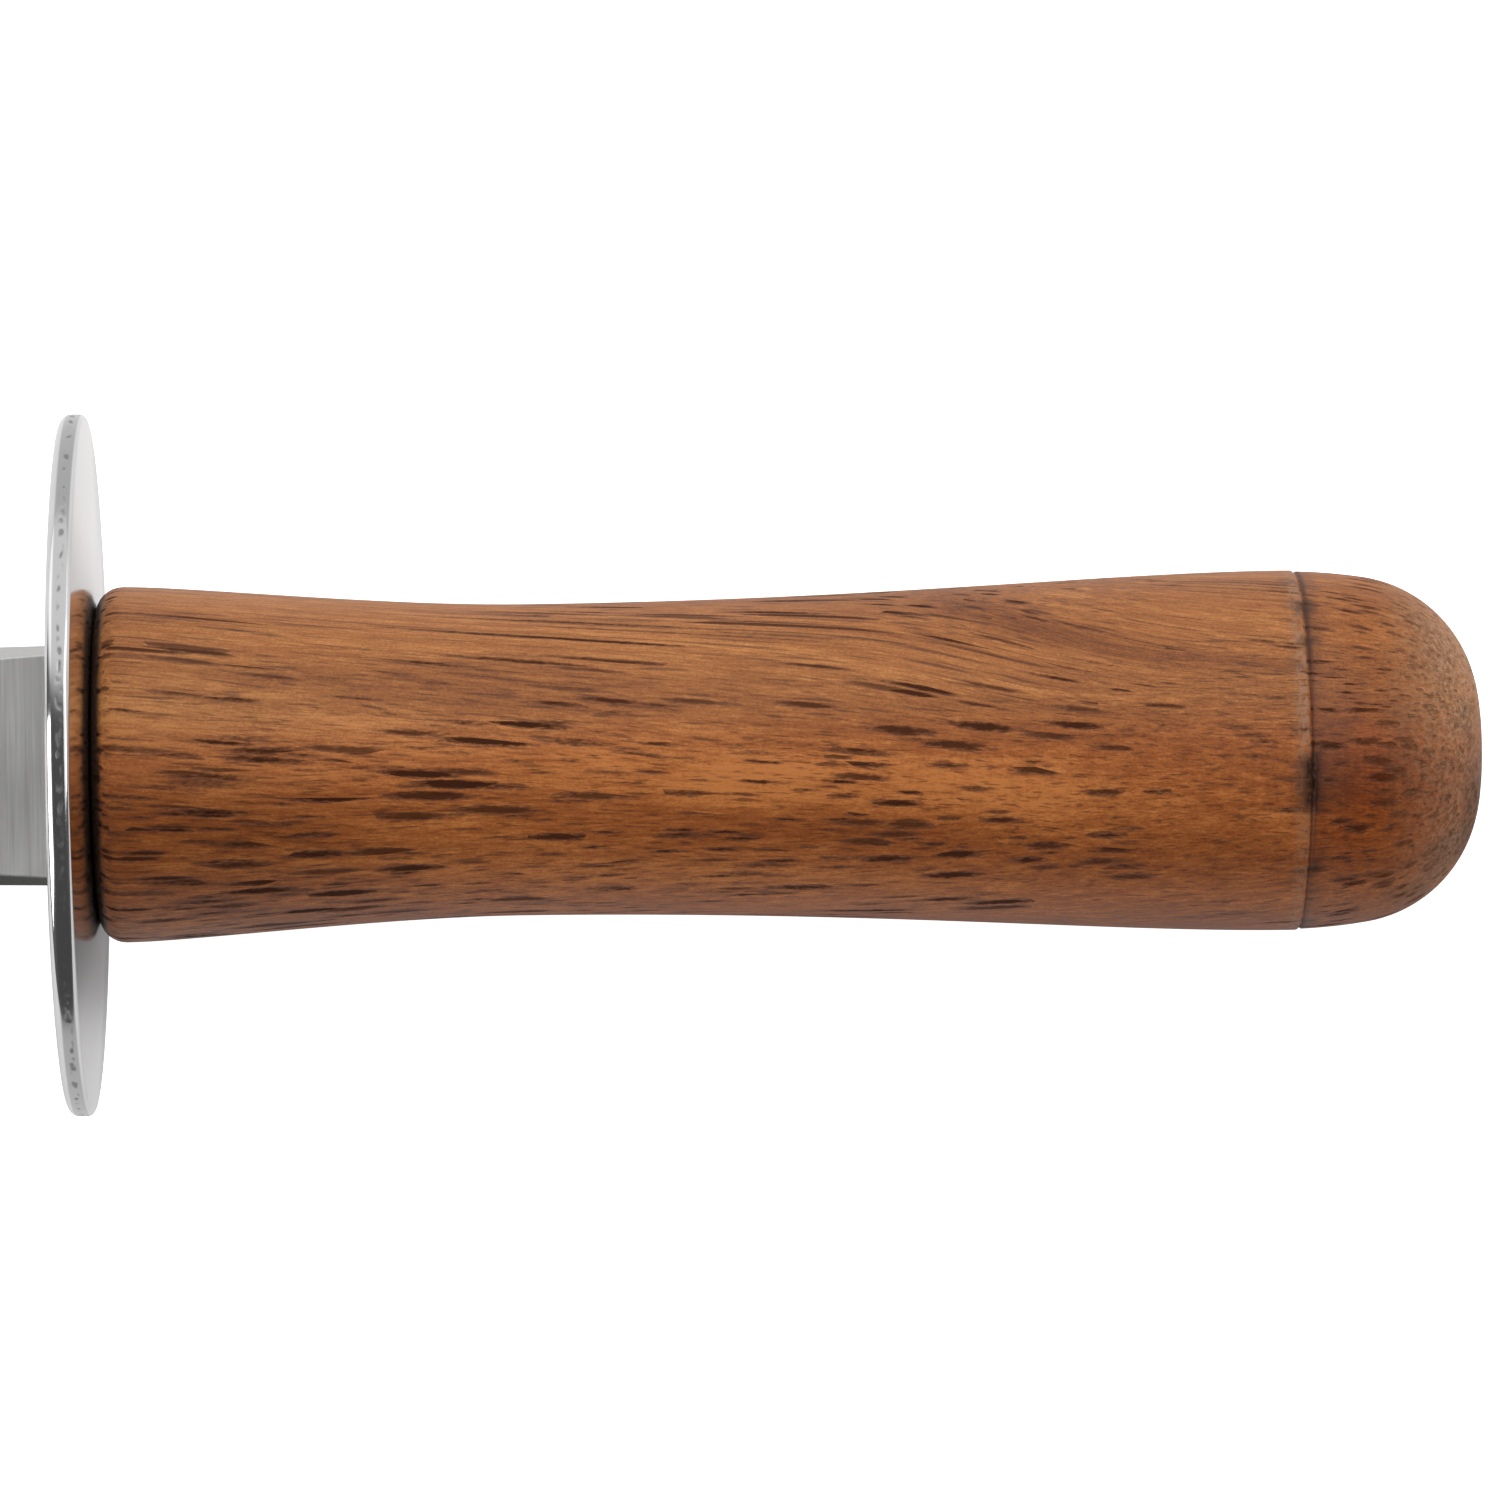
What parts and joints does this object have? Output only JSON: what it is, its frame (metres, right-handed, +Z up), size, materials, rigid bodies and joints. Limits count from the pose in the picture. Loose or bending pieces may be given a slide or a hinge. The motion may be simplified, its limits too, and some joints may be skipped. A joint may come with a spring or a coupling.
{
  "type": "oyster knife",
  "caption": "Oyster knife with a short lancet blade, a round steel guard that shields the hand, and a turned wooden handle with a waist and a domed butt.",
  "frame": {"origin": "on the table under the middle of the knife's box, with the knife lying on the guard's rim and on the swell of the butt", "axes": "+Z up from the table, +X from the blade's tip towards the butt in plan, +Y across the blade; the knife's own axis lies in the XZ plane, butt end low"},
  "size_m": [0.1642, 0.0508, 0.0504],
  "materials": {
    "blade_steel": "satin, ground across the blade",
    "guard_steel": "polished stainless steel",
    "handle_wood": "satin lacquer",
    "glue": "hard clear resin"
  },
  "bodies": {
    "root": {"blade": "blade_steel", "guard_disc": "guard_steel", "handle": "handle_wood", "tang_bedding": "glue"}
  },
  "joints": []
}
